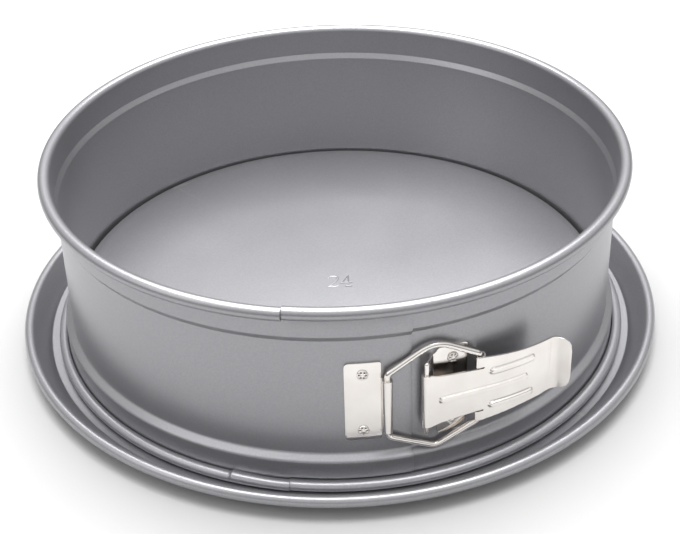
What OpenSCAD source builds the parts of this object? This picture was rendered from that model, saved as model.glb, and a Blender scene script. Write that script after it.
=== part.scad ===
// Springform pan: a base plate and a side ring closed by an over-centre wire latch. Millimetres.
// The pan stands on z = 0 with its axis on the z axis, and the latch faces -y.

/* [Pan] */
// inner radius of the side wall, half the nominal size
pan_radius = 120; // [118:0.5:122]
// height of the top of the rolled edge
pan_height = 86.3; // [83:0.1:100]
// thickness of the side ring's sheet
band_sheet = 0.6; // [0.5:0.05:0.6]
// thickness of the base plate's sheet
base_sheet = 0.8; // [0.6:0.05:0.8]

/* [Base plate] */
// height of the raised platform's top face
platform_height = 18.2; // [16:0.1:18.5]
// gap between the platform's edge and the side wall
platform_gap = 1.2; // [1.1:0.05:1.6]
// outer radius of the base plate's rolled rim, measured from the side wall
rim_reach = 22.8; // [22.8:0.1:26]
// radius of the roll of the base plate's rim
rim_roll = 2.5; // [2:0.1:2.6]
// raised height of the size mark
mark_height = 0.3; // [0.2:0.05:0.4]

/* [Side ring] */
// radius of the rolled top edge
top_roll = 2.65; // [2.4:0.05:2.8]
// radius of the rolled bottom edge
bottom_roll = 2.2; // [2:0.05:2.3]
// azimuth of the outer layer's end, from the front toward +x
outer_end = 12.6; // [12:0.1:13]
// azimuth of the inner layer's end and of the seams in the rolled edges
inner_end = -9.8; // [-11:0.1:-9]
// gap between the two layers where the ends overlap
layer_gap = 0.3; // [0.3:0.05:0.4]

/* [Latch] */
// diameter of the loop's wire
wire = 2.5; // [2.2:0.05:2.5]
// thickness of the catch plate and the bracket
latch_sheet = 0.8; // [0.7:0.05:0.85]
// thickness of the lever
lever_sheet = 0.9; // [0.8:0.05:1]
// height of the lever's narrow tongue at the pivot
tongue_height = 24.4; // [22:0.1:25.2]
// height of the lever's wide part at the shoulders
lever_height = 30.6; // [29:0.1:30.8]
// length of the kicked-out free end
kick_length = 8.3; // [6:0.1:10]
// angle by which the free end turns outward
kick_angle = 60; // [35:1:62]
// diameter of the rivet heads
rivet_head = 4.5; // [4:0.1:4.6]

/* [Hidden] */

big = 400;
fine = 96;
coating = [0.52, 0.52, 0.54];
plated = [0.86, 0.84, 0.82];

// side ring: heights and radii of its bends
wall_out = pan_radius + band_sheet;
step_out = 1.5;
step_low = pan_height - 16.6;
step_high = step_low + 2.6;
upper_in = pan_radius + step_out;
ledge_high = 15.2;
ledge_drop = 2;
skirt_in = pan_radius + 3.1;
strip_low = 5.6;
strip_high = pan_height - 2 * top_roll - 0.4;
top_centre = [upper_in + top_roll, pan_height - top_roll];
bottom_centre = [skirt_in + bottom_roll, base_sheet + bottom_roll];
layer_shift = band_sheet + layer_gap;
outer_ledge_shift = 0.45;
outer_step_shift = -0.3;
seam_gap = 0.1;

// base plate
platform_radius = pan_radius - platform_gap;
edge_round = 1.2;
mark_left = -4.8;
mark_front = -12;
stroke_half = 0.5;
rim_centre = [pan_radius + rim_reach - rim_roll, 8];
lip_slope = 52;
lip_across = [-sin(lip_slope), cos(lip_slope)];
lip_top = rim_centre + (rim_roll - 0.04) * lip_across + 0.4 * [cos(lip_slope), sin(lip_slope)];
lip_foot = lip_top[0] - (lip_top[1] - base_sheet) / tan(lip_slope);

// latch: plan positions of its three vertical axes
barrel_azimuth = 7.94;
barrel_reach = wall_out + 2.4;
barrel_axis = [barrel_reach * sin(barrel_azimuth), -layer_shift - barrel_reach * cos(barrel_azimuth)];
pivot_axis = [31.9, -pan_radius - 0.5];
loop_axis = pivot_axis + [20.5, 7.8];
running_gap = 0.05;
// how far a round end stands proud of what it joins, so that the two faces cross cleanly
proud = 0.03;
// clearance under a plate that lies on the side wall, and under a rivet's head
seat_gap = 0.02;
wire_radius = wire / 2;
barrel_wall = 0.75;
barrel_low = 27;
barrel_high = 51.7;
bar_radius = 1;
lever_level = 39.7;

// catch plate
catch_azimuth = 3.8;
catch_width = 14.6;
catch_low = 22.8;
catch_high = 59.3;
catch_rivet_azimuth = 3.65;
catch_rivet_levels = [27.5, 54];
rivet_shank = 1.5;
head_height = 1;

// bracket
bracket_azimuth = 19.8;
bracket_width = 14.8;
bracket_low = 19.6;
bracket_high = 60.5;
bracket_rivet_azimuth = 20.3;
bracket_rivet_levels = [25, 55.1];
flange_low = 23.6;
flange_high = 57.5;
bracket_edge = bracket_azimuth - asin(bracket_width / 2 / wall_out);
flange_root = around(wall_out + latch_sheet / 2, bracket_edge + 0.35);

// lever: a curved sheet, in a frame whose x axis runs from the pivot to the loop
lever_angle = atan2(loop_axis[1] - pivot_axis[1], loop_axis[0] - pivot_axis[0]);
lever_arm = norm(loop_axis - pivot_axis);
flat_length = 25;
sheet_curve = 88;
wire_gap = 0.35;
sheet_at_pivot = [0, -bar_radius - running_gap - lever_sheet / 2 + 2 * proud];
sheet_at_loop = [lever_arm, -wire_radius - wire_gap - lever_sheet / 2];
sheet_turn = atan2(sheet_at_loop[1] - sheet_at_pivot[1], lever_arm);
bend_x = 54.5;
bend_turn = asin((bend_x - flat_length) / sheet_curve);
bend_point = [bend_x, sheet_curve * (1 - cos(bend_turn))];
bend_half = 12.4;
tip_half = 7.4;
shoulder_x = 19.7;
slit_end = 23;
slit = 0.6;
waist_half = 9.9;
rib_radius = 1.1;
rib_rise = 0.8;

// one point of a plan circle about the pan's axis, by azimuth from the front
function around(radius, azimuth) = radius * [sin(azimuth), -cos(azimuth)];

// a rolled edge: a ring in section, open between two angles
module curl_section(centre, radius, sheet, open_from, open_to) {
    translate(centre)
        difference() {
            circle(r = radius, $fn = fine);
            circle(r = radius - sheet, $fn = fine);
            polygon([
                [0, 0],
                3 * radius * [cos(open_from), sin(open_from)],
                3 * radius * [cos((open_from + open_to) / 2), sin((open_from + open_to) / 2)],
                3 * radius * [cos(open_to), sin(open_to)]
            ]);
        }
}

// the middle of the side wall in section, without its rolled edges
module strip_section(ledge_shift, step_shift) {
    ledge = ledge_high + ledge_shift;
    polygon([
        [skirt_in, strip_low],
        [skirt_in + band_sheet, strip_low],
        [skirt_in + band_sheet, ledge - ledge_drop],
        [wall_out, ledge],
        [wall_out, step_low + step_shift],
        [upper_in + band_sheet, step_high + step_shift],
        [upper_in + band_sheet, strip_high],
        [upper_in, strip_high],
        [upper_in, step_high + band_sheet / 2 + step_shift],
        [pan_radius, step_low + band_sheet / 2 + step_shift],
        [pan_radius, ledge - band_sheet / 2],
        [skirt_in, ledge - band_sheet / 2 - ledge_drop]
    ]);
}

module top_section() {
    translate([upper_in, strip_high])
        square([band_sheet, top_centre[1] - strip_high]);
    curl_section(top_centre, top_roll, band_sheet, 180, 238);
}

module bottom_section() {
    translate([skirt_in, bottom_centre[1]])
        square([band_sheet, strip_low - bottom_centre[1]]);
    curl_section(bottom_centre, bottom_roll, band_sheet, 122, 180);
}

// a section swept about the pan's axis between two azimuths from the front
module swept(from, to) {
    rotate_extrude(angle = to - from, start = from - 90, $fn = fine)
        children();
}

// a rectangle with round corners, about the origin
module rounded_rectangle(width, height, corner) {
    square([width - 2 * corner, height], center = true);
    square([width, height - 2 * corner], center = true);
    for (x = [-1, 1])
        for (y = [-1, 1])
            translate([x * (width / 2 - corner), y * (height / 2 - corner)])
                circle(r = corner, $fn = 48);
}

// a plate with round corners that lies on the side wall
module wall_plate(azimuth, width, low, high) {
    intersection() {
        swept(azimuth - 12, azimuth + 12)
            translate([wall_out + seat_gap, low - 1])
                square([latch_sheet - seat_gap, high - low + 2]);
        rotate([0, 0, azimuth])
            translate([0, 0, (low + high) / 2])
                rotate([90, 0, 0])
                    linear_extrude(height = big)
                        rounded_rectangle(width, high - low, 2);
    }
}

// a cylinder that points away from the pan's axis
module radial_cylinder(azimuth, level, radius, from, to) {
    rotate([0, 0, azimuth])
        translate([0, -from, level])
            rotate([90, 0, 0])
                cylinder(r = radius, h = to - from, $fn = 48);
}

// a straight stroke of the size mark, between two points of its drawing
module stroke(from, to) {
    along = to - from;
    translate([from[0], from[1], 0])
        rotate([0, 0, atan2(along[1], along[0])])
            translate([0, -stroke_half, 0])
                cube([norm(along), 2 * stroke_half, base_sheet / 2 + mark_height]);
}

module strokes(points) {
    for (i = [0 : len(points) - 2])
        stroke(points[i], points[i + 1]);
    for (p = points)
        translate([p[0], p[1], 0])
            cylinder(r = stroke_half + proud, h = base_sheet / 2 + mark_height, $fn = 24);
}

module base_plate() {
    color(coating) {
        rotate_extrude($fn = fine)
            union() {
                polygon([
                    [0, platform_height - base_sheet],
                    [0, platform_height],
                    [platform_radius - edge_round, platform_height],
                    [platform_radius, platform_height - edge_round],
                    [platform_radius, base_sheet],
                    [lip_foot, base_sheet],
                    lip_top,
                    lip_top - base_sheet * lip_across,
                    [lip_foot + base_sheet * tan(lip_slope / 2), 0],
                    [platform_radius - base_sheet, 0],
                    [platform_radius - base_sheet, platform_height - edge_round - base_sheet / 2],
                    [platform_radius - edge_round - base_sheet / 2, platform_height - base_sheet]
                ]);
                curl_section(rim_centre, rim_roll, base_sheet, 90 + lip_slope, 235);
            }
        translate([mark_left, mark_front, platform_height - base_sheet / 2])
            strokes([[0.2, 8.6], [1.4, 10.6], [3.2, 11.2], [5, 10.2], [5.4, 8], [0.2, 0], [5.6, 0]]);
        translate([mark_left + 7.2, mark_front, platform_height - base_sheet / 2])
            strokes([[4.2, 0], [4.2, 11.2], [0, 3.4], [5.6, 3.4]]);
    }
}

module band_back() {
    color(coating)
        swept(90, 270)
            union() {
                strip_section(0, 0);
                top_section();
                bottom_section();
            }
}

module band_left() {
    color(coating)
        difference() {
            intersection() {
                translate([0, -layer_shift, 0])
                    union() {
                        swept(-91, outer_end)
                            strip_section(outer_ledge_shift, outer_step_shift);
                        swept(-91, inner_end - seam_gap) {
                            top_section();
                            bottom_section();
                        }
                    }
                translate([-big / 2, -big / 2, 0])
                    cube([big, big / 2, big]);
            }
            for (level = catch_rivet_levels)
                translate([0, -layer_shift, 0])
                    radial_cylinder(catch_rivet_azimuth, level, rivet_shank, pan_radius - 5, pan_radius + 5);
        }
}

module band_right() {
    color(coating)
        difference() {
            union() {
                swept(inner_end, 90) {
                    strip_section(0, 0);
                    top_section();
                    bottom_section();
                }
            }
            for (level = bracket_rivet_levels)
                radial_cylinder(bracket_rivet_azimuth, level, rivet_shank, pan_radius - 5, pan_radius + 5);
        }
}

module catch_plate() {
    barrel_radius = wire_radius + running_gap + barrel_wall;
    color(plated)
        difference() {
            union() {
                translate([0, -layer_shift, 0]) {
                    wall_plate(catch_azimuth, catch_width, catch_low, catch_high);
                    swept(catch_azimuth, barrel_azimuth)
                        translate([wall_out + seat_gap, barrel_low])
                            square([latch_sheet - seat_gap, barrel_high - barrel_low]);
                }
                translate([barrel_axis[0], barrel_axis[1], barrel_low])
                    cylinder(r = barrel_radius, h = barrel_high - barrel_low, $fn = 64);
            }
            translate([barrel_axis[0], barrel_axis[1], barrel_low - 1])
                cylinder(r = wire_radius + running_gap, h = barrel_high - barrel_low + 2, $fn = 64);
            translate([barrel_axis[0], barrel_axis[1], barrel_low - 1])
                rotate([0, 0, 195])
                    translate([0, -0.25, 0])
                        cube([4, 0.5, barrel_high - barrel_low + 2]);
            for (level = catch_rivet_levels)
                translate([0, -layer_shift, 0])
                    radial_cylinder(catch_rivet_azimuth, level, rivet_shank, pan_radius - 5, pan_radius + 5);
        }
}

// a rivet with a low head outside the plate, and one inside the wall if inner_head is above zero
module rivet(azimuth, level, inner_head) {
    head_from = wall_out + latch_sheet;
    difference() {
        union() {
            radial_cylinder(azimuth, level, rivet_shank, pan_radius + seat_gap, head_from + head_height);
            radial_cylinder(azimuth, level, rivet_head / 2, head_from + seat_gap, head_from + head_height);
            if (inner_head > 0)
                radial_cylinder(azimuth, level, rivet_head / 2, pan_radius - inner_head, pan_radius - 2 * seat_gap);
            if (inner_head > 0)
                radial_cylinder(azimuth, level, rivet_shank, pan_radius - inner_head, pan_radius + 1);
        }
        radial_cylinder(azimuth, level, rivet_shank * 0.55, head_from + head_height / 2, head_from + 5);
    }
}

module catch_rivet_upper() {
    color(plated)
        translate([0, -layer_shift, 0])
            rivet(catch_rivet_azimuth, catch_rivet_levels[1], 0);
}

module catch_rivet_lower() {
    color(plated)
        translate([0, -layer_shift, 0])
            rivet(catch_rivet_azimuth, catch_rivet_levels[0], 0);
}

// a closed wire through points given as [distance from the barrel toward the loop axis, height]
module wire_through(points) {
    for (i = [0 : len(points) - 1]) {
        from = points[i];
        to = points[(i + 1) % len(points)];
        run = to - from;
        translate([from[0], 0, from[1]]) {
            sphere(r = wire_radius + proud, $fn = 48);
            rotate([0, 90 - atan2(run[1], run[0]), 0])
                cylinder(r = wire_radius, h = norm(run), $fn = 48);
        }
    }
}

module bail() {
    reach = loop_axis - barrel_axis;
    span = norm(reach);
    color(plated)
        translate([barrel_axis[0], barrel_axis[1], 0])
            rotate([0, 0, atan2(reach[1], reach[0])])
                wire_through([
                    [0, 24.6],
                    [0, 54.4],
                    [14.9, 63.1],
                    [22.7, 63.2],
                    [span, 55.9],
                    [span, 23.1],
                    [19.4, 15.9]
                ]);
}

// one web of the bracket's flange, from the plate's edge to the pivot bar
module flange_web(low, high) {
    reach = flange_root - pivot_axis;
    translate([pivot_axis[0], pivot_axis[1], low])
        rotate([0, 0, atan2(reach[1], reach[0])])
            translate([0, -latch_sheet / 2, 0])
                cube([norm(reach), latch_sheet, high - low]);
}

module lever_bracket() {
    tongue_low = lever_level - tongue_height / 2 - 0.5;
    tongue_high = lever_level + tongue_height / 2 + 0.5;
    color(plated)
        difference() {
            union() {
                wall_plate(bracket_azimuth, bracket_width, bracket_low, bracket_high);
                flange_web(flange_low, tongue_low);
                flange_web(tongue_high, flange_high);
                translate([pivot_axis[0], pivot_axis[1], flange_low])
                    cylinder(r = bar_radius, h = flange_high - flange_low, $fn = 64);
            }
            for (level = bracket_rivet_levels)
                radial_cylinder(bracket_rivet_azimuth, level, rivet_shank, pan_radius - 5, pan_radius + 5);
        }
}

module bracket_rivet_upper() {
    color(plated)
        rivet(bracket_rivet_azimuth, bracket_rivet_levels[1], 0.8);
}

module bracket_rivet_lower() {
    color(plated)
        rivet(bracket_rivet_azimuth, bracket_rivet_levels[0], 0.8);
}

// a frame whose x axis runs along the flat part of the lever's sheet, from the pivot
module along_sheet() {
    translate([sheet_at_pivot[0], sheet_at_pivot[1], 0])
        rotate([0, 0, sheet_turn])
            children();
}

// a shell along the lever's sheet, flat and then curved, between two distances from its outer face
module lever_shell(inward, outward) {
    along_sheet() {
        translate([0, -lever_sheet / 2 - outward, -lever_height])
            cube([flat_length, inward + outward, 2 * lever_height]);
        translate([flat_length, sheet_curve, -lever_height])
            rotate_extrude(angle = bend_turn, start = -90, $fn = fine)
                translate([sheet_curve + lever_sheet / 2 - inward, 0])
                    square([inward + outward, 2 * lever_height]);
    }
}

// the front view of a raised rib, from one x to another
module rib_outline(from_x, to_x, level) {
    translate([from_x, level - rib_radius])
        square([to_x - from_x, 2 * rib_radius]);
    for (x = [from_x, to_x])
        translate([x, level])
            circle(r = rib_radius, $fn = 48);
}

// the lever's front view up to the bend: a tongue with concave sides, shoulders and slits
module lever_outline() {
    tongue = tongue_height / 2;
    wide = lever_height / 2;
    difference() {
        polygon([
            [0, -tongue],
            [4.6, -waist_half - 1.3],
            [11.6, -waist_half - 0.6],
            [shoulder_x, -waist_half],
            [shoulder_x, -wide],
            [30, -wide + 1.2],
            [40, -bend_half - 0.7],
            [bend_x + 1, -bend_half],
            [bend_x + 1, bend_half],
            [40, bend_half + 0.7],
            [30, wide - 1.2],
            [shoulder_x, wide],
            [shoulder_x, waist_half],
            [11.6, waist_half + 0.6],
            [4.6, waist_half + 1.3],
            [0, tongue]
        ]);
        for (side = [-1, 1])
            translate([shoulder_x - 1, side * (waist_half + slit / 2) - slit / 2])
                square([slit_end - shoulder_x + 1, slit]);
    }
}

// the front view of the lever's kicked-out end, from the bend
module kick_outline() {
    polygon([
        [0, -bend_half],
        [kick_length - 4.6, -bend_half],
        [kick_length - 1.6, -tip_half - 2.1],
        [kick_length, -tip_half],
        [kick_length, tip_half],
        [kick_length - 1.6, tip_half + 2.1],
        [kick_length - 4.6, bend_half],
        [0, bend_half]
    ]);
}

// the curl that holds the loop's wire: round its far side and behind it, open toward the pivot
module wire_hook(low, high) {
    hook_in = wire_radius + wire_gap + 2 * proud;
    translate([lever_arm, 0, low])
        difference() {
            cylinder(r = hook_in + lever_sheet, h = high - low, $fn = 64);
            translate([0, 0, -1])
                cylinder(r = hook_in, h = high - low + 2, $fn = 64);
            translate([-8, -4, -1])
                cube([8.3, 8, high - low + 2]);
        }
}

module lever() {
    curl_in = bar_radius + running_gap;
    color(plated)
        translate([pivot_axis[0], pivot_axis[1], lever_level])
            rotate([0, 0, lever_angle]) {
                difference() {
                    union() {
                        intersection() {
                            lever_shell(lever_sheet, 0);
                            rotate([90, 0, 0])
                                linear_extrude(height = big, center = true)
                                    lever_outline();
                        }
                        translate([0, 0, -tongue_height / 2])
                            cylinder(r = curl_in + lever_sheet, h = tongue_height, $fn = 64);
                    }
                    translate([0, 0, -lever_height])
                        cylinder(r = curl_in, h = 2 * lever_height, $fn = 64);
                }
                for (side = [-1, 1])
                    wire_hook(
                        side > 0 ? waist_half + slit : -lever_height / 2,
                        side > 0 ? lever_height / 2 : -waist_half - slit
                    );
                intersection() {
                    lever_shell(lever_sheet / 2, rib_rise);
                    rotate([90, 0, 0])
                        linear_extrude(height = big, center = true) {
                            rib_outline(5.8, 40.8, 0);
                            rib_outline(26.5, 43.8, 7.8);
                            rib_outline(26.4, 43.5, -8.2);
                        }
                }
                along_sheet()
                    translate([bend_point[0], bend_point[1], 0]) {
                        translate([0, 0, -bend_half - 2 * proud])
                            cylinder(r = lever_sheet / 2 + proud, h = 2 * bend_half + 4 * proud, $fn = 48);
                        rotate([90, 0, bend_turn - kick_angle])
                            linear_extrude(height = lever_sheet, center = true)
                                kick_outline();
                    }
            }
}

base_plate();
band_back();
band_left();
band_right();
catch_plate();
catch_rivet_upper();
catch_rivet_lower();
bail();
lever_bracket();
bracket_rivet_upper();
bracket_rivet_lower();
lever();
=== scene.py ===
"""The looks of the springform pan.

Shapes are worked out in millimetres and turned into metres when a mesh is made. The pan stands on z = 0 with
its axis on the z axis, and the latch faces -y. Azimuths are degrees from the front (-y) toward +x.
"""

import math

import bmesh
import bpy
from mathutils import Matrix, Vector


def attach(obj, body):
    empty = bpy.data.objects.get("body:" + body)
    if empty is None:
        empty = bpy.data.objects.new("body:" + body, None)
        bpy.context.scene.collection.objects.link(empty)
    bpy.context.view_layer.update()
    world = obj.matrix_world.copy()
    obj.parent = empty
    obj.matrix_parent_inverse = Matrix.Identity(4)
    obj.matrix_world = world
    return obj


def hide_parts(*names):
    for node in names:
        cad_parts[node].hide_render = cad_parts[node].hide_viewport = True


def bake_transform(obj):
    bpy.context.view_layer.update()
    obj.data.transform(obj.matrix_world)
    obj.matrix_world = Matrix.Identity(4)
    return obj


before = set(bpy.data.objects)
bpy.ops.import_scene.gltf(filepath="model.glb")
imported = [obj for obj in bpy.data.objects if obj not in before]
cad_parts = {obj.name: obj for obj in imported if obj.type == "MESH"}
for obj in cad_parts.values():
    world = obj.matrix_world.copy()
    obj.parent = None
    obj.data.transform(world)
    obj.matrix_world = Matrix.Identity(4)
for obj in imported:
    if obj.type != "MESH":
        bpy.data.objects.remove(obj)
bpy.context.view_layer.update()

MM = 0.001

# side ring
HALF_SHEET = 0.3
WALL_MID = 120.3
UPPER_MID = 121.8
SKIRT_MID = 123.4
STEP_LOW, STEP_HIGH = 69.85, 72.45
LEDGE_HIGH, LEDGE_LOW = 15.05, 13.05
STRIP_LOW, STRIP_HIGH = 5.6, 80.6
TOP_CENTRE, TOP_RADIUS = (124.15, 83.64), 2.35
BOTTOM_CENTRE, BOTTOM_RADIUS = (125.3, 3.0), 1.9
OUTER_END = 12.6
INNER_END = -9.8
LEFT_SEAM = -9.84
# how much wider than high the bottom rolls are
LEFT_ROLL_WIDTH, RIGHT_ROLL_WIDTH = 1.1, 1.24
LAYER_SHIFT = 0.9
BUMP_AZIMUTH = -20.75
OUTER_LEDGE_SHIFT, OUTER_STEP_SHIFT = 0.45, -0.3
RING_BEVEL = 0.12

# base plate
BASE_HALF = 0.4
PLATFORM_TOP = 18.2
PLATFORM_RADIUS = 118.7
RIM_CENTRE, RIM_RADIUS = (140.28, 8.0), 2.1
LIP_SLOPE = 52.0
# size mark: its lower left corner, its scale across and up, and its strokes
MARK_CORNER = (-4.8, -9.6)
MARK_SCALE = (0.82, 0.78)
STROKE_RADIUS, STROKE_FLATNESS = 0.5, 0.62

# latch, in plan
LATCH_HALF = 0.39
PLATE_MID = 121.01
BARREL_AXIS = (16.991, -122.721)
BARREL_AZIMUTH = 7.94
PIVOT_AXIS = (31.9, -120.5)
LOOP_AXIS = (52.4, -112.7)
LEVER_LEVEL = 39.7
LEVER_HALF = 0.45
CATCH_AZIMUTH, CATCH_WIDTH = 3.8, 14.6
CATCH_LOW, CATCH_HIGH = 22.8, 59.3
BRACKET_AZIMUTH, BRACKET_WIDTH = 19.8, 14.8
BRACKET_LOW, BRACKET_HIGH = 19.6, 60.5
BARREL_CURL, BARREL_TURN = 1.67, 315
BARREL_LOW, BARREL_HIGH = 27.0, 51.7
FLANGE_LOW, FLANGE_HIGH = 23.6, 57.5
FLANGE_GAP = (26.9, 52.5)
PIN_RADIUS, PIN_LOW, PIN_HIGH = 0.97, 24.3, 56.6
WIRE_RADIUS = 1.25
HEAD_RADIUS, SHANK_RADIUS = 2.24, 1.45
CATCH_RIVET_AZIMUTH, CATCH_RIVET_LEVELS = 3.65, {"upper": 54.0, "lower": 27.5}
BRACKET_RIVET_AZIMUTH, BRACKET_RIVET_LEVELS = 20.3, {"upper": 55.1, "lower": 25.0}


# ---------------------------------------------------------------- lines and sections


def arc(centre, radius, start, end, steps):
    """Points of a circle's arc between two angles in degrees."""
    points = []
    for i in range(steps + 1):
        a = math.radians(start + (end - start) * i / steps)
        points.append((centre[0] + radius * math.cos(a), centre[1] + radius * math.sin(a)))
    return points


def filleted(points, radii, steps=5):
    """An open line whose inner corners are rounded, each with its own radius."""
    result = [tuple(points[0])]
    for i in range(1, len(points) - 1):
        before, here, after = (Vector(p) for p in points[i - 1 : i + 2])
        result += corner(before, here, after, radii[i - 1], steps)
    result.append(tuple(points[-1]))
    return result


def corner(before, here, after, radius, steps):
    """The points that replace one corner of a line."""
    to_before, to_after = (before - here).normalized(), (after - here).normalized()
    angle = to_before.angle(to_after)
    if radius <= 0 or angle > math.radians(178):
        return [tuple(here)]
    reach = min(radius / math.tan(angle / 2), (before - here).length * 0.49, (after - here).length * 0.49)
    start, end = here + to_before * reach, here + to_after * reach
    points = []
    for i in range(steps + 1):
        t = i / steps
        points.append(tuple(start.lerp(here, t).lerp(here.lerp(end, t), t)))
    return points


def closed_outline(points, radii, steps=4):
    """A closed outline whose corners are rounded."""
    result = []
    for i, here in enumerate(points):
        before, after = points[i - 1], points[(i + 1) % len(points)]
        result += corner(Vector(before), Vector(here), Vector(after), radii[i], steps)
    return result


def both_sides(line, half):
    """The two lines beside a line in a plane, on its left and on its right."""
    left, right = [], []
    for i, p in enumerate(line):
        back = Vector(line[max(i - 1, 0)])
        ahead = Vector(line[min(i + 1, len(line) - 1)])
        here = Vector(p)
        before = (here - back).normalized() if i > 0 else (ahead - here).normalized()
        after = (ahead - here).normalized() if i < len(line) - 1 else before
        along = (before + after).normalized()
        width = half / max(along.dot(after), 0.5)
        across = Vector((-along.y, along.x)) * width
        left.append(here + across)
        right.append(here - across)
    return left, right


def around(radius, azimuth, z):
    """A point by its distance from the pan's axis, its azimuth and its height."""
    a = math.radians(azimuth)
    return Vector((radius * math.sin(a), -radius * math.cos(a), z))


def smooth_step(value, start, end):
    t = min(max((value - start) / (end - start), 0.0), 1.0)
    return t * t * (3 - 2 * t)


# ---------------------------------------------------------------- meshes


def add_object(name, points, faces, sharp=40):
    """A mesh object from points in millimetres, shaded smooth with its sharp edges kept."""
    mesh = bpy.data.meshes.new(name)
    mesh.from_pydata([[c * MM for c in p] for p in points], [], faces)
    work = bmesh.new()
    work.from_mesh(mesh)
    bmesh.ops.recalc_face_normals(work, faces=work.faces)
    work.to_mesh(mesh)
    work.free()
    mesh.shade_smooth()
    mesh.set_sharp_from_angle(angle=math.radians(sharp))
    obj = bpy.data.objects.new(name, mesh)
    bpy.context.scene.collection.objects.link(obj)
    return obj


def grid_sheet(name, left, right, kept):
    """A sheet between two grids of points: the kept cells on both faces, and a wall along each free edge."""
    columns, rows = len(left), len(left[0])
    index, points, faces = {}, [], []

    def vertex(side, k, i):
        key = (side, k, i)
        if key not in index:
            index[key] = len(points)
            points.append(left[k][i] if side == 0 else right[k][i])
        return index[key]

    def is_kept(k, i):
        return 0 <= k < columns - 1 and 0 <= i < rows - 1 and kept(k, i)

    for k in range(columns - 1):
        for i in range(rows - 1):
            if not is_kept(k, i):
                continue
            ring = [(k, i), (k + 1, i), (k + 1, i + 1), (k, i + 1)]
            faces.append([vertex(0, *c) for c in ring])
            faces.append([vertex(1, *c) for c in reversed(ring)])
            neighbours = [(k, i - 1), (k + 1, i), (k, i + 1), (k - 1, i)]
            for edge, neighbour in enumerate(neighbours):
                if not is_kept(*neighbour):
                    a, b = ring[edge], ring[(edge + 1) % 4]
                    faces.append([vertex(0, *b), vertex(0, *a), vertex(1, *a), vertex(1, *b)])
    return add_object(name, points, faces)


def turned(name, outline, steps):
    """A solid of revolution about the pan's axis, from a closed outline of (radius, height)."""
    points, faces = [], []
    count = len(outline)
    on_axis = [p[0] < 1e-6 for p in outline]
    for k in range(steps):
        for radius, z in outline:
            points.append(around(radius, 360 * k / steps, z))
    for k in range(steps):
        ahead = (k + 1) % steps
        for i in range(count):
            j = (i + 1) % count
            if on_axis[i] and on_axis[j]:
                continue
            faces.append([k * count + i, ahead * count + i, ahead * count + j, k * count + j])
    obj = add_object(name, points, faces)
    merge_close(obj, 1e-6)
    return obj


def merge_close(obj, distance):
    work = bmesh.new()
    work.from_mesh(obj.data)
    bmesh.ops.remove_doubles(work, verts=work.verts, dist=distance)
    bmesh.ops.recalc_face_normals(work, faces=work.faces)
    work.to_mesh(obj.data)
    work.free()
    obj.data.shade_smooth()
    obj.data.set_sharp_from_angle(angle=math.radians(40))


def tube(name, line, radius, sides=20, closed=False, flatten=1.0):
    """A round wire along a line that lies in a plane, with round ends if it is open."""
    line = [Vector(p) for p in line]
    normal = plane_normal(line)
    points, faces = [], []
    stations = tube_stations(line, radius, closed)
    for centre, along, size in stations:
        across = normal.cross(along).normalized()
        for s in range(sides):
            a = 2 * math.pi * s / sides
            points.append(centre + size * (math.cos(a) * across + flatten * math.sin(a) * normal))
    count = len(stations)
    for k in range(count if closed else count - 1):
        ahead = (k + 1) % count
        for s in range(sides):
            t = (s + 1) % sides
            faces.append([k * sides + s, k * sides + t, ahead * sides + t, ahead * sides + s])
    if not closed:
        faces.append(list(range(sides)))
        faces.append([(count - 1) * sides + s for s in reversed(range(sides))])
    return add_object(name, points, faces, sharp=50)


def plane_normal(line):
    for i in range(1, len(line) - 1):
        n = (line[i] - line[0]).cross(line[i + 1] - line[0])
        if n.length > 1e-3:
            return n.normalized()
    along = (line[-1] - line[0]).normalized()
    return along.cross(Vector((1, 0, 0)) if abs(along.z) > 0.9 else Vector((0, 0, 1))).normalized()


def tube_stations(line, radius, closed):
    """Centre, direction and radius of each ring of a tube."""
    count = len(line)
    stations = []
    for k, p in enumerate(line):
        if closed:
            along = line[(k + 1) % count] - line[k - 1]
        else:
            along = line[min(k + 1, count - 1)] - line[max(k - 1, 0)]
        stations.append((p, along.normalized(), radius))
    if closed:
        return stations
    first, last = stations[0], stations[-1]
    ends = [(0.3, 0.95), (0.6, 0.8), (0.86, 0.51), (0.99, 0.14)]
    head = [(first[0] - first[1] * radius * d, first[1], radius * s) for d, s in reversed(ends)]
    tail = [(last[0] + last[1] * radius * d, last[1], radius * s) for d, s in ends]
    return head + stations + tail


def bent_sheet(name, outline, path, half, rows, raise_by=None):
    """A sheet cut to an outline of (distance, height) and bent along a path of (distance, x, y) in plan."""
    work = bmesh.new()
    work.faces.new([work.verts.new((u, z, 0)) for u, z in outline])
    low_z, high_z = min(p[1] for p in outline), max(p[1] for p in outline)
    cuts = [((p[0], 0, 0), (1, 0, 0)) for p in path]
    cuts += [((0, low_z + (high_z - low_z) * i / rows, 0), (0, 1, 0)) for i in range(1, rows)]
    for place, normal in cuts:
        everything = work.verts[:] + work.edges[:] + work.faces[:]
        bmesh.ops.bisect_plane(work, geom=everything, plane_co=place, plane_no=normal, dist=1e-5)
    work.verts.ensure_lookup_table()
    work.verts.index_update()
    points = []
    for side in (-1, 1):
        for v in work.verts:
            lift = raise_by(v.co.x, v.co.y) if raise_by else 0.0
            x, y = path_point(path, v.co.x, side * half + lift)
            points.append(Vector((x, y, v.co.y)))
    count = len(work.verts)
    faces = []
    for f in work.faces:
        ring = [v.index for v in f.verts]
        faces.append([count + i for i in ring])
        faces.append(ring[::-1])
    for e in work.edges:
        if e.is_boundary:
            a, b = e.verts[0].index, e.verts[1].index
            faces.append([a, b, count + b, count + a])
    work.free()
    return add_object(name, points, faces)


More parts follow.
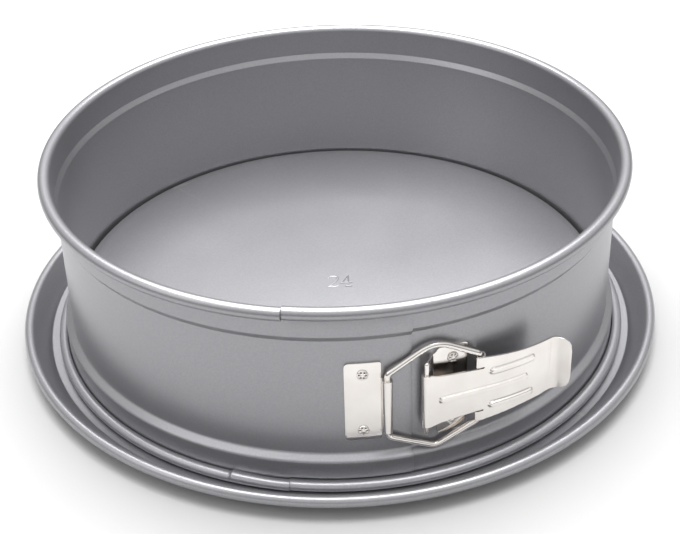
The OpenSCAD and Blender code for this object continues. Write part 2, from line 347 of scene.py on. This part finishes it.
def path_point(path, distance, offset):
    """The plan point at a distance along a path, moved to the path's right by an offset."""
    last = len(path) - 2
    k = 0
    while k < last and path[k + 1][0] < distance - 1e-6:
        k += 1
    a, b = path[k], path[k + 1]
    t = min(max((distance - a[0]) / (b[0] - a[0]), 0.0), 1.0)
    here = Vector((a[1] + (b[1] - a[1]) * t, a[2] + (b[2] - a[2]) * t))
    n = path_normal(path, k).lerp(path_normal(path, k + 1), t).normalized()
    return here + n * offset


def path_normal(path, k):
    a, b = path[max(k - 1, 0)], path[min(k + 1, len(path) - 1)]
    along = Vector((b[1] - a[1], b[2] - a[2])).normalized()
    return Vector((along.y, -along.x))


def measured(line, start=0.0):
    """A plan line as (distance, x, y), with the distance measured along it."""
    path = [(start, line[0][0], line[0][1])]
    for a, b in zip(line, line[1:]):
        step = math.dist(a, b)
        if step > 1e-6:
            path.append((path[-1][0] + step, b[0], b[1]))
    return path


def rounded_edges(obj, width, segments=2, leave=None):
    """Rounds the sharp edges of a finished mesh, apart from those whose middle is to be left."""
    mesh = obj.data
    weights = mesh.attributes.new("bevel_weight_edge", "FLOAT", "EDGE")
    for edge in mesh.edges:
        middle = (mesh.vertices[edge.vertices[0]].co + mesh.vertices[edge.vertices[1]].co) / 2 / MM
        keep_sharp = leave is not None and leave(middle)
        weights.data[edge.index].value = 0.0 if keep_sharp or not edge.use_edge_sharp else 1.0
    bevel = obj.modifiers.new("edges", "BEVEL")
    bevel.width = width * MM
    bevel.segments = segments
    bevel.limit_method = "WEIGHT"
    bevel.use_clamp_overlap = True
    bpy.context.view_layer.update()
    graph = bpy.context.evaluated_depsgraph_get()
    mesh = bpy.data.meshes.new_from_object(obj.evaluated_get(graph))
    obj.modifiers.clear()
    obj.data = mesh
    mesh.shade_smooth()
    mesh.set_sharp_from_angle(angle=math.radians(50))
    return obj


def joined(name, objects):
    """Several objects as one, under a new name."""
    work = bmesh.new()
    for obj in objects:
        work.from_mesh(obj.data)
        bpy.data.objects.remove(obj)
    mesh = bpy.data.meshes.new(name)
    work.to_mesh(mesh)
    work.free()
    obj = bpy.data.objects.new(name, mesh)
    bpy.context.scene.collection.objects.link(obj)
    return obj


# ---------------------------------------------------------------- materials


def new_material(name):
    material = bpy.data.materials.new(name)
    material.use_nodes = True
    nodes = material.node_tree.nodes
    return material, nodes, material.node_tree.links, nodes["Principled BSDF"]


def texture(nodes, links, kind, scale, coordinates, **sockets):
    node = nodes.new(kind)
    node.inputs["Scale"].default_value = scale
    for key, value in sockets.items():
        node.inputs[key].default_value = value
    links.new(coordinates, node.inputs["Vector"])
    return node


def ramp(nodes, links, source, stops):
    """A colour ramp of (position, grey or colour) stops."""
    node = nodes.new("ShaderNodeValToRGB")
    while len(node.color_ramp.elements) < len(stops):
        node.color_ramp.elements.new(0.5)
    for element, (position, value) in zip(node.color_ramp.elements, stops):
        element.position = position
        colour = (value, value, value) if isinstance(value, float) else value
        element.color = (*colour, 1)
    links.new(source, node.inputs["Fac"])
    return node.outputs["Color"]


def mixed(nodes, links, kind, factor, first, second):
    """Two colours mixed, where factor and second may be sockets or values."""
    node = nodes.new("ShaderNodeMix")
    node.data_type = "RGBA"
    node.blend_type = kind
    for socket, value in (("Factor_Float", factor), ("A_Color", first), ("B_Color", second)):
        target = next(s for s in node.inputs if s.identifier == socket)
        if isinstance(value, bpy.types.NodeSocket):
            links.new(value, target)
        else:
            target.default_value = value
    return next(s for s in node.outputs if s.identifier == "Result_Color")


def coating_material():
    """Satin grey non-stick coating on sheet steel, with a fine fleck, lighter along its edges: partly rubbed
    coating, partly a painted edge highlight.
    """
    material, nodes, links, shader = new_material("coating")
    place = nodes.new("ShaderNodeTexCoord").outputs["Object"]
    fleck = texture(nodes, links, "ShaderNodeTexVoronoi", 1700, place).outputs["Distance"]
    grain = texture(nodes, links, "ShaderNodeTexNoise", 1300, place, Detail=3.0).outputs["Fac"]
    cloud = texture(nodes, links, "ShaderNodeTexNoise", 12, place, Detail=3.0).outputs["Fac"]
    tone = ramp(nodes, links, grain, [(0.3, (0.335, 0.334, 0.352)), (0.7, (0.375, 0.374, 0.392))])
    bright = ramp(nodes, links, fleck, [(0.06, 1.0), (0.22, 0.0)])
    tone = mixed(nodes, links, "MIX", bright, tone, (0.44, 0.44, 0.46, 1))
    shade = ramp(nodes, links, cloud, [(0.3, 0.96), (0.7, 1.0)])
    tone = mixed(nodes, links, "MULTIPLY", 1.0, tone, shade)
    # Lighter outward edges, kept off the back seam: rubbed coating plus a painted edge highlight.
    worn_and_edge_highlight = mixed(nodes, links, "MULTIPLY", 1.0, rubbed_and_highlight_edge_mask(nodes, links), front_mask(nodes, links, place))
    tone = mixed(nodes, links, "MIX", worn_and_edge_highlight, tone, (0.5, 0.5, 0.51, 1))
    links.new(tone, shader.inputs["Base Color"])
    rough = ramp(nodes, links, cloud, [(0.3, 0.3), (0.7, 0.36)])
    links.new(rough, shader.inputs["Roughness"])
    shader.inputs["Metallic"].default_value = 0.76
    bump = nodes.new("ShaderNodeBump")
    bump.inputs["Strength"].default_value = 0.22
    bump.inputs["Distance"].default_value = 0.00006
    links.new(grain, bump.inputs["Height"])
    links.new(bump.outputs["Normal"], shader.inputs["Normal"])
    return material


def rubbed_and_highlight_edge_mask(nodes, links):
    """White along outward edges: rubbed coating there, and a painted edge highlight."""
    pointed = nodes.new("ShaderNodeNewGeometry").outputs["Pointiness"]
    return ramp(nodes, links, pointed, [(0.56, 0.0), (0.66, 1.0)])


def front_mask(nodes, links, place):
    """White apart from the very back, where the two halves of the ring's mesh meet."""
    split = nodes.new("ShaderNodeSeparateXYZ")
    links.new(place, split.inputs["Vector"])
    shifted = nodes.new("ShaderNodeMath")
    shifted.operation = "MULTIPLY_ADD"
    shifted.inputs[1].default_value = -20.0
    shifted.inputs[2].default_value = 2.3
    links.new(split.outputs["Y"], shifted.inputs[0])
    return ramp(nodes, links, shifted.outputs["Value"], [(0.0, 0.0), (1.0, 1.0)])


def painted_crease_shade(nodes, links):
    """Dark in creases and pits: painted shade where less light reaches the plating."""
    pointed = nodes.new("ShaderNodeNewGeometry").outputs["Pointiness"]
    return ramp(nodes, links, pointed, [(0.44, 0.06), (0.495, 1.0)])


def plating_material():
    """Bright nickel plating with faint rolling marks and small scratches."""
    material, nodes, links, shader = new_material("plating")
    place = nodes.new("ShaderNodeTexCoord").outputs["Object"]
    mapping = nodes.new("ShaderNodeMapping")
    mapping.inputs["Scale"].default_value = (1.0, 1.0, 14.0)
    links.new(place, mapping.inputs["Vector"])
    stretched = mapping.outputs["Vector"]
    streak = texture(nodes, links, "ShaderNodeTexNoise", 260, stretched, Detail=4.0).outputs["Fac"]
    cloud = texture(nodes, links, "ShaderNodeTexNoise", 90, place, Detail=3.0).outputs["Fac"]
    tone = ramp(nodes, links, cloud, [(0.3, (0.80, 0.76, 0.725)), (0.7, (0.88, 0.845, 0.81))])
    # Painted shade: the plating's tone is darkened in creases and pits.
    tone = mixed(nodes, links, "MULTIPLY", 1.0, tone, painted_crease_shade(nodes, links))
    links.new(tone, shader.inputs["Base Color"])
    rough = ramp(nodes, links, streak, [(0.3, 0.10), (0.75, 0.2)])
    links.new(rough, shader.inputs["Roughness"])
    shader.inputs["Metallic"].default_value = 1.0
    bump = nodes.new("ShaderNodeBump")
    bump.inputs["Strength"].default_value = 0.12
    bump.inputs["Distance"].default_value = 0.00004
    links.new(streak, bump.inputs["Height"])
    links.new(bump.outputs["Normal"], shader.inputs["Normal"])
    return material


def floor_material():
    """A pale table, plain round the pan and darker far outside the camera's view."""
    material, nodes, links, shader = new_material("studio_floor")
    place = nodes.new("ShaderNodeTexCoord").outputs["Object"]
    distance = nodes.new("ShaderNodeVectorMath")
    distance.operation = "LENGTH"
    links.new(place, distance.inputs[0])
    tone = ramp(nodes, links, distance.outputs["Value"], [(0.5, 0.5), (0.9, 0.1)])
    links.new(tone, shader.inputs["Base Color"])
    shader.inputs["Roughness"].default_value = 0.9
    return material


# ---------------------------------------------------------------- side ring


def ring_path(ledge_shift, step_shift, loosen, roll_width):
    """The side ring's sheet in section, from the top roll's edge to the bottom roll's edge.

    Gives its middle line, and the first and last places of the plain strip between the rolls.
    """
    top = arc(TOP_CENTRE, TOP_RADIUS, 238, 540, 40)
    ledge_top, ledge_foot = LEDGE_HIGH + ledge_shift, LEDGE_LOW + ledge_shift
    wall = filleted(
        [
            top[-1],
            (UPPER_MID, STEP_HIGH + step_shift),
            (WALL_MID, STEP_LOW + step_shift),
            (WALL_MID, ledge_top),
            (SKIRT_MID, ledge_foot),
            (SKIRT_MID, BOTTOM_CENTRE[1]),
        ],
        [1.3, 1.3, 1.6, 1.2],
    )
    split = [i for i, p in enumerate(wall) if p[1] > STRIP_HIGH][-1] + 1
    wall.insert(split, (UPPER_MID, STRIP_HIGH))
    middle = [(WALL_MID, STEP_LOW - 6 - 7 * i) for i in range(7)]
    after = [i for i, p in enumerate(wall) if p[1] > middle[0][1]][-1] + 1
    wall[after:after] = middle
    wall.insert(len(wall) - 1, (SKIRT_MID, STRIP_LOW))
    bottom = arc(BOTTOM_CENTRE, BOTTOM_RADIUS, 180, 488, 32)
    bottom = [loosened(p, 180 + 308 * i / 32, loosen) for i, p in enumerate(bottom)]
    bottom = [(SKIRT_MID + (x - SKIRT_MID) * roll_width, z) for x, z in bottom]
    return top + wall[1:-1] + bottom, len(top) - 1 + split, len(top) + len(wall) - 3


def loosened(point, angle, amount):
    """A point of the bottom roll where the roll is wound less tightly toward its edge."""
    share = amount * smooth_step(angle, 330, 440)
    a = math.radians(angle)
    return point[0] + share * math.cos(a), point[1] + share * math.sin(a)


def ring_half(name, azimuths, outer_layer):
    """Half of the side ring, as one sheet with both rolls."""
    left, right = [], []
    strip = (0, 0)
    for azimuth in azimuths:
        arm = smooth_step(azimuth, -100, -60) if outer_layer else 0.0
        step = azimuth - BUMP_AZIMUTH
        loosen = 0.0
        if outer_layer:
            loosen = 0.5 * smooth_step(step, -0.4, 0.3) * (1 - smooth_step(step, 1, 9.5))
            loosen += 0.3 * max(0.0, 1 - abs(step - 0.3) / 0.6)
        width = LEFT_ROLL_WIDTH if outer_layer else RIGHT_ROLL_WIDTH
        path, first, last = ring_path(OUTER_LEDGE_SHIFT * arm, OUTER_STEP_SHIFT * arm, loosen, width)
        strip = (first, last)
        sides = both_sides(path, HALF_SHEET)
        shift = Vector((0, -LAYER_SHIFT * arm, 0))
        left.append([around(p.x, azimuth, p.y) + shift for p in sides[0]])
        right.append([around(p.x, azimuth, p.y) + shift for p in sides[1]])

    def kept(k, i):
        beyond_seam = outer_layer and azimuths[k] > LEFT_SEAM - 0.01
        return not beyond_seam or strip[0] <= i < strip[1]

    def at_back(p):
        return p.y > 100 and abs(p.x) < 0.01

    return rounded_edges(grid_sheet(name, left, right, kept), RING_BEVEL, leave=at_back)


def left_ring():
    """The left half, whose front end is the outer layer; its columns are close together at the nick."""
    azimuths = [-180 + 1.5 * i for i in range(105)]
    azimuths += [BUMP_AZIMUTH + d for d in (-0.6, -0.3, -0.1, 0.0, 0.15, 0.3, 0.5, 0.9)]
    azimuths += [-19 + i for i in range(9)] + [LEFT_SEAM]
    azimuths += [-8.4 + 1.5 * i for i in range(14)] + [OUTER_END]
    obj = ring_half("ring_left_half", azimuths, True)
    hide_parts("band_left", "band_back")
    return obj


def right_ring():
    """The right half, whose front end is the inner layer."""
    azimuths = [INNER_END, -9.0] + [-7.5 + 1.5 * i for i in range(125)] + [180]
    obj = ring_half("ring_right_half", azimuths, False)
    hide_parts("band_right")
    return obj


# ---------------------------------------------------------------- base plate


def base_outline():
    """The base plate in section, from its axis out to the rolled rim and back."""
    angle = math.radians(90 + LIP_SLOPE)
    lip_top = (
        RIM_CENTRE[0] + RIM_RADIUS * math.cos(angle),
        RIM_CENTRE[1] + RIM_RADIUS * math.sin(angle),
    )
    slope = math.tan(math.radians(LIP_SLOPE))
    lip_foot = (lip_top[0] - (lip_top[1] - BASE_HALF) / slope, BASE_HALF)
    top = PLATFORM_TOP - BASE_HALF
    wall = PLATFORM_RADIUS - BASE_HALF
    line = filleted(
        [
            (0, top),
            (60, top),
            (115.4, top),
            (116.2, top - 0.12),
            (wall, top - 0.2),
            (wall, BASE_HALF),
            lip_foot,
            lip_top,
        ],
        [0, 0.8, 0.8, 0.55, 1.0, 1.2],
    )
    line += arc(RIM_CENTRE, RIM_RADIUS, 90 + LIP_SLOPE, -125, 34)[1:]
    left, right = both_sides(line, BASE_HALF)
    return [tuple(p) for p in left] + [tuple(p) for p in reversed(right)]


def mark_strokes():
    """The size mark, 24, as raised round strokes on the platform."""
    two = arc((2.8, 8.4), 2.7, 165, -25, 14) + [(3.4, 4.4), (1.3, 1.6), (0.3, 0.3)]
    foot = [(0.2, 0.3), (1.6, 0.9), (3.4, 0.2), (5.6, 0.9)]
    lines = [
        two,
        filleted(foot, [1.5, 1.5]),
        [(11.3, 0.2), (11.3, 11.0)],
        [(11.1, 11.0), (7.3, 3.6)],
        [(7.3, 3.6), (12.9, 3.6)],
        [(9.9, 0.2), (12.7, 0.2)],
    ]
    strokes = []
    for i, line in enumerate(lines):
        points = []
        for x, y in line:
            across = MARK_SCALE[0] * x + MARK_CORNER[0]
            up = MARK_SCALE[1] * y + MARK_CORNER[1]
            points.append(Vector((across, up, PLATFORM_TOP - 0.05)))
        strokes.append(tube("mark_%d" % i, points, STROKE_RADIUS, sides=12, flatten=STROKE_FLATNESS))
    return strokes


def base_plate():
    plate = turned("plate", base_outline(), 240)
    obj = joined("base_pan", [plate] + mark_strokes())
    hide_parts("base_plate")
    return obj


# ---------------------------------------------------------------- latch


def wall_line(from_azimuth, to_azimuth, shift, steps):
    """A plan line that lies on the side wall."""
    line = []
    for i in range(steps + 1):
        p = around(PLATE_MID, from_azimuth + (to_azimuth - from_azimuth) * i / steps, 0)
        line.append((p.x, p.y + shift))
    return line


def catch_plate():
    """The catch plate, whose right edge is rolled into the barrel that holds the wire."""
    half_turn = math.degrees(CATCH_WIDTH / 2 / PLATE_MID)
    left, right = CATCH_AZIMUTH - half_turn, CATCH_AZIMUTH + half_turn
    flat = wall_line(left, right - 0.9, -LAYER_SHIFT, 14)
    start = BARREL_AZIMUTH + 90
    roll = arc(BARREL_AXIS, BARREL_CURL, start, start + BARREL_TURN, 32)
    path = measured(flat + roll)
    plate_end = path[14][0] + 1.3
    strip_end = path[-1][0]
    outline = [
        (0, CATCH_LOW),
        (plate_end, CATCH_LOW),
        (plate_end, BARREL_LOW),
        (strip_end, BARREL_LOW),
        (strip_end, BARREL_HIGH),
        (plate_end, BARREL_HIGH),
        (plate_end, CATCH_HIGH),
        (0, CATCH_HIGH),
    ]
    outline = closed_outline(outline, [2.0, 0.8, 0.3, 0.2, 0.2, 0.3, 0.8, 2.0])
    obj = rounded_edges(bent_sheet("catch", outline, path, LATCH_HALF, 24), 0.14)
    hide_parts("catch_plate")
    return obj


def bracket():
    """The lever's bracket: a plate on the wall, a flange bent out from it, and the pivot pin."""
    half_turn = math.degrees(BRACKET_WIDTH / 2 / PLATE_MID)
    left, right = BRACKET_AZIMUTH - half_turn, BRACKET_AZIMUTH + half_turn
    wall = wall_line(right, left + 0.15, 0, 16)
    edge = wall[-1]
    line = filleted([wall[-3], edge, PIVOT_AXIS], [1.1], 6)
    path = measured(wall[:-3] + line)
    flange_start = path[14][0] - 0.6
    end = path[-1][0]
    outline = [
        (0, BRACKET_LOW),
        (flange_start, BRACKET_LOW),
        (flange_start + 0.5, FLANGE_LOW),
        (end, FLANGE_LOW),
        (end, FLANGE_GAP[0]),
        (flange_start + 2.2, 27.3),
        (flange_start + 2.2, 52.0),
        (end, FLANGE_GAP[1]),
        (end, FLANGE_HIGH),
        (flange_start + 1.6, 58.5),
        (flange_start, BRACKET_HIGH),
        (0, BRACKET_HIGH),
    ]
    outline = closed_outline(outline, [2, 0.6, 0.4, 0.2, 0.2, 0.8, 0.8, 0.2, 0.3, 0.4, 0.8, 2])
    plate = rounded_edges(bent_sheet("plate", outline, path, LATCH_HALF, 26), 0.12)
    pin_line = [(*PIVOT_AXIS, z) for z in (PIN_LOW, 40, PIN_HIGH)]
    pin = tube("pin", pin_line, PIN_RADIUS, sides=24)
    obj = joined("bracket", [plate, pin])
    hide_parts("lever_bracket")
    return obj


def rivet_height(radius, angle):
    """The height of a star-clinched rivet head above its plate."""
    dome = max(0.0, 1 - (radius / 2.28) ** 5) ** 0.5
    petal = 0.5 + 0.5 * math.cos(6 * angle + 0.6)
    groove = math.exp(-(((radius - 1.3) / 0.42) ** 2)) * (0.05 + 0.85 * petal**1.5)
    button = math.exp(-((radius / 0.45) ** 2)) * 0.06
    return 0.92 * dome - groove + button


def rivet(name, azimuth, level, shift, inner_head):
    """A rivet with a clinched head outside, and a plain one inside if it has one."""
    rings, sides = 18, 60
    points, faces = [], []
    base = PLATE_MID + LATCH_HALF
    a = math.radians(azimuth)
    out = Vector((math.sin(a), -math.cos(a), 0))
    side = Vector((math.cos(a), math.sin(a), 0))
    origin = Vector((0, shift, level))
    for k in range(rings + 1):
        radius = HEAD_RADIUS * k / rings
        for s in range(sides):
            t = 2 * math.pi * s / sides
            height = base + rivet_height(radius, t)
            flat = side * (radius * math.cos(t)) + Vector((0, 0, radius * math.sin(t)))
            points.append(origin + out * height + flat)
    tail = [(HEAD_RADIUS, base), (SHANK_RADIUS, base), (SHANK_RADIUS, 120.1)]
    if inner_head:
        tail += [(SHANK_RADIUS, 120.0), (2.2, 119.98), (2.1, 119.6), (1.6, 119.3), (0.8, 119.22)]
    for radius, height in tail:
        for s in range(sides):
            t = 2 * math.pi * s / sides
            flat = side * (radius * math.cos(t)) + Vector((0, 0, radius * math.sin(t)))
            points.append(origin + out * height + flat)
    last = rings + len(tail)
    for k in range(last):
        for s in range(sides):
            t = (s + 1) % sides
            faces.append([k * sides + s, k * sides + t, (k + 1) * sides + t, (k + 1) * sides + s])
    faces.append([last * sides + s for s in range(sides)])
    obj = add_object(name, points, faces)
    merge_close(obj, 1e-6)
    return obj


def wire_loop():
    """The loop of wire between the catch plate's barrel and the lever."""
    reach = Vector((LOOP_AXIS[0] - BARREL_AXIS[0], LOOP_AXIS[1] - BARREL_AXIS[1]))
    span = reach.length
    along = reach / span
    corners = [(0, 24.6), (0, 54.4), (18.8, 65.3), (span, 55.4), (span, 23.4), (19.4, 15.0)]
    line = closed_outline(corners, [3.2, 3.0, 12.0, 2.6, 2.6, 5.0], 10)
    points = []
    for i, here in enumerate(line):
        after = line[(i + 1) % len(line)]
        parts = max(1, round(math.dist(here, after) / 3))
        for j in range(parts):
            d = here[0] + (after[0] - here[0]) * j / parts
            z = here[1] + (after[1] - here[1]) * j / parts
            points.append(Vector((BARREL_AXIS[0] + along.x * d, BARREL_AXIS[1] + along.y * d, z)))
    obj = tube("wire_loop", points, WIRE_RADIUS, sides=28, closed=True)
    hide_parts("bail")
    return obj


# lever: a plan frame whose x axis runs from the pivot to the loop
LEVER_ARM = math.dist(PIVOT_AXIS, LOOP_AXIS)
LEVER_TURN = math.atan2(LOOP_AXIS[1] - PIVOT_AXIS[1], LOOP_AXIS[0] - PIVOT_AXIS[0])
SHEET_START, SHEET_SLOPE = -1.45, -0.028
FLAT_END, SHEET_CURVE = 25.0, 88.0
BEND_X = 55.6
KICK_LENGTH = 7.2
KICK_ANGLE = 60.0
BEND_REACH = 2.4
RIBS = [(5.8, 40.8, 0.0), (26.5, 43.8, 7.8), (26.4, 43.5, -8.2)]


def sheet_y(x):
    """The place across of the lever's sheet: flat, then curved in toward the pan."""
    past = max(x - FLAT_END, 0.0)
    return SHEET_START + SHEET_SLOPE * x + SHEET_CURVE - math.sqrt(SHEET_CURVE**2 - past**2)


def lever_path():
    """The lever's sheet in plan: a curl round the pivot, a shallow arc, and the free end kicked outward."""
    curl = arc((0, 0), 1.49, 32, 268, 26)
    length = sum(math.dist(a, b) for a, b in zip(curl, curl[1:]))
    path = measured(curl, -length)
    x = 0.8
    while x < BEND_X - BEND_REACH - 0.2:
        path.append((x, x, sheet_y(x)))
        x += 0.4
    turn = math.asin((BEND_X - FLAT_END) / SHEET_CURVE) + math.atan(SHEET_SLOPE)
    kick = turn - math.radians(KICK_ANGLE)
    knee = Vector((BEND_X, sheet_y(BEND_X)))
    before = knee - Vector((math.cos(turn), math.sin(turn))) * BEND_REACH
    after = knee + Vector((math.cos(kick), math.sin(kick))) * BEND_REACH
    for i in range(13):
        t = i / 12
        p = before.lerp(knee, t).lerp(knee.lerp(after, t), t)
        path.append((BEND_X - BEND_REACH + 2 * BEND_REACH * t, p.x, p.y))
    for i in range(1, 13):
        d = BEND_REACH + (KICK_LENGTH - BEND_REACH) * i / 12
        p = knee + Vector((math.cos(kick), math.sin(kick))) * d
        path.append((BEND_X + d, p.x, p.y))
    return path


def lever_outline(start):
    """The lever's outline as (distance, height) about its middle, from the curl's free edge to the tip."""
    tip = BEND_X + KICK_LENGTH
    points = [
        (start, -12.2, 0.3),
        (1.0, -12.2, 2.0),
        (4.6, -11.2, 3.0),
        (11.6, -10.5, 5.0),
        (23.0, -9.8, 0.3),
        (23.0, -10.6, 0.3),
        (19.7, -10.6, 0.3),
        (19.7, -15.3, 0.9),
        (30.0, -14.1, 9.0),
        (40.0, -13.1, 9.0),
        (tip, -12.1, 6.5),
        (tip, 12.1, 6.5),
        (40.0, 13.1, 9.0),
        (30.0, 14.1, 9.0),
        (19.7, 15.3, 0.9),
        (19.7, 10.6, 0.3),
        (23.0, 10.6, 0.3),
        (23.0, 9.8, 0.3),
        (11.6, 10.5, 5.0),
        (4.6, 11.2, 3.0),
        (1.0, 12.2, 2.0),
        (start, 12.2, 0.3),
    ]
    return closed_outline([p[:2] for p in points], [p[2] for p in points])


def lever_raise(distance, height):
    """How far the lever's sheet stands out from its curve: ribs, and shoulders rolled in at their edge."""
    lift = 0.0
    for start, end, level in RIBS:
        past = max(start - distance, distance - end, 0.0)
        off = math.hypot(past, height - level)
        lift = max(lift, 1.1 * smooth_step(1.5 - off, 0.0, 0.7))
    if abs(height) > 10.2 and 19 < distance < 20.7:
        lift -= 0.3 * smooth_step(20.7 - distance, 0.0, 1.0)
    return lift


def to_lever(obj):
    """Moves a mesh from the lever's own frame to its place."""
    turn = Matrix.Rotation(LEVER_TURN, 4, "Z")
    place = Matrix.Translation((PIVOT_AXIS[0] * MM, PIVOT_AXIS[1] * MM, LEVER_LEVEL * MM))
    obj.data.transform(place @ turn)
    return obj


def wire_hook(name, low, high):
    """The curl behind a shoulder that the wire lies in."""
    line = arc((LEVER_ARM, 0), 2.0, -72, 92, 16)
    path = measured(line)
    end = path[-1][0]
    outline = closed_outline([(0, low), (end, low), (end, high), (0, high)], [0.1, 0.6, 0.6, 0.1])
    return rounded_edges(bent_sheet(name, outline, path, 0.38, 4), 0.12)


def lever():
    path = lever_path()
    outline = lever_outline(path[0][0])
    sheet = bent_sheet("sheet", outline, path, LEVER_HALF, 84, lever_raise)
    rounded_edges(sheet, 0.13)
    hooks = [wire_hook("hook_low", -15.2, -10.7), wire_hook("hook_high", 10.7, 15.2)]
    obj = joined("lever_sheet", [sheet] + hooks)
    to_lever(obj)
    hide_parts("lever")
    return obj


# ---------------------------------------------------------------- studio


def add_camera():
    """The camera at the photograph's viewing angle."""
    yaw, pitch, roll = (math.radians(a) for a in (0.089, 33.24, -1.811))
    ahead = Vector((math.sin(yaw), math.cos(yaw), 0))
    right = Vector((math.cos(yaw), -math.sin(yaw), 0))
    up = Vector((0, 0, 1))
    forward = ahead * math.cos(pitch) - up * math.sin(pitch)
    above = ahead * math.sin(pitch) + up * math.cos(pitch)
    camera_x = right * math.cos(roll) + above * math.sin(roll)
    camera_y = above * math.cos(roll) - right * math.sin(roll)
    data = bpy.data.cameras.new("camera")
    data.lens = 76.92
    data.sensor_width = 36
    data.clip_start = 0.01
    obj = bpy.data.objects.new("camera", data)
    matrix = Matrix((camera_x, camera_y, -forward)).transposed().to_4x4()
    matrix.translation = Vector((0, -0.5529, 0.3848))
    obj.matrix_world = matrix
    bpy.context.scene.collection.objects.link(obj)
    bpy.context.scene.camera = obj


def add_floor():
    size = 6.0
    corners = [(-size, -size, 0), (size, -size, 0), (size, size, 0), (-size, size, 0)]
    mesh = bpy.data.meshes.new("studio_floor")
    mesh.from_pydata(corners, [], [(0, 1, 2, 3)])
    obj = bpy.data.objects.new("studio_floor", mesh)
    bpy.context.scene.collection.objects.link(obj)
    mesh.materials.append(floor_material())


def add_softbox(name, place, target, width, depth, power):
    data = bpy.data.lights.new(name, "AREA")
    data.shape = "RECTANGLE"
    data.size = width
    data.size_y = depth
    data.energy = power
    obj = bpy.data.objects.new(name, data)
    aim = (Vector(target) - Vector(place)).to_track_quat("-Z", "Y")
    obj.matrix_world = Matrix.Translation(place) @ aim.to_matrix().to_4x4()
    bpy.context.scene.collection.objects.link(obj)


def add_world():
    """A studio that is bright above and dim toward the horizon."""
    world = bpy.data.worlds.new("studio")
    bpy.context.scene.world = world
    world.use_nodes = True
    nodes, links = world.node_tree.nodes, world.node_tree.links
    direction = nodes.new("ShaderNodeTexCoord").outputs["Generated"]
    split = nodes.new("ShaderNodeSeparateXYZ")
    links.new(direction, split.inputs["Vector"])
    colour = ramp(nodes, links, split.outputs["Z"], [(0.0, 0.12), (0.1, 0.26), (0.42, 0.72), (0.85, 1.0)])
    links.new(colour, nodes["Background"].inputs["Color"])
    nodes["Background"].inputs["Strength"].default_value = 1.1


def add_studio():
    add_camera()
    add_floor()
    add_world()
    add_softbox("softbox_top", (0.0, 0.35, 1.5), (0, 0, 0.05), 1.5, 1.6, 46)
    add_softbox("softbox_left", (-1.1, -0.5, 0.9), (0, 0, 0.05), 0.7, 0.9, 1.5)
    bpy.context.scene.view_settings.view_transform = "Standard"


# ---------------------------------------------------------------- the pan


def finish_piece(obj, material):
    obj.data.materials.clear()
    obj.data.materials.append(material)


def build_pan():
    coating, plating = coating_material(), plating_material()
    base, left, right = base_plate(), left_ring(), right_ring()
    for obj in (base, left, right):
        finish_piece(obj, coating)
    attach(base, "base")
    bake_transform(left)
    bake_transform(right)
    rides = [
        (catch_plate(), "ring_left"),
        (bracket(), "ring_right"),
        (wire_loop(), "bail"),
        (lever(), "lever"),
    ]
    for obj in rivet_pair("left", "catch", CATCH_RIVET_AZIMUTH, CATCH_RIVET_LEVELS, -LAYER_SHIFT):
        rides.append((obj, "ring_left"))
    for obj in rivet_pair("right", "bracket", BRACKET_RIVET_AZIMUTH, BRACKET_RIVET_LEVELS, 0, True):
        rides.append((obj, "ring_right"))
    for obj, body in rides:
        finish_piece(obj, plating)
        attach(obj, body)


def rivet_pair(side, plate, azimuth, levels, shift, inner_head=False):
    """The upper and lower rivet of one plate of the latch."""
    pair = []
    for place, level in levels.items():
        obj = rivet("clinch_%s_%s" % (side, place), azimuth, level, shift, inner_head)
        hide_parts("%s_rivet_%s" % (plate, place))
        pair.append(obj)
    return pair


build_pan()
add_studio()
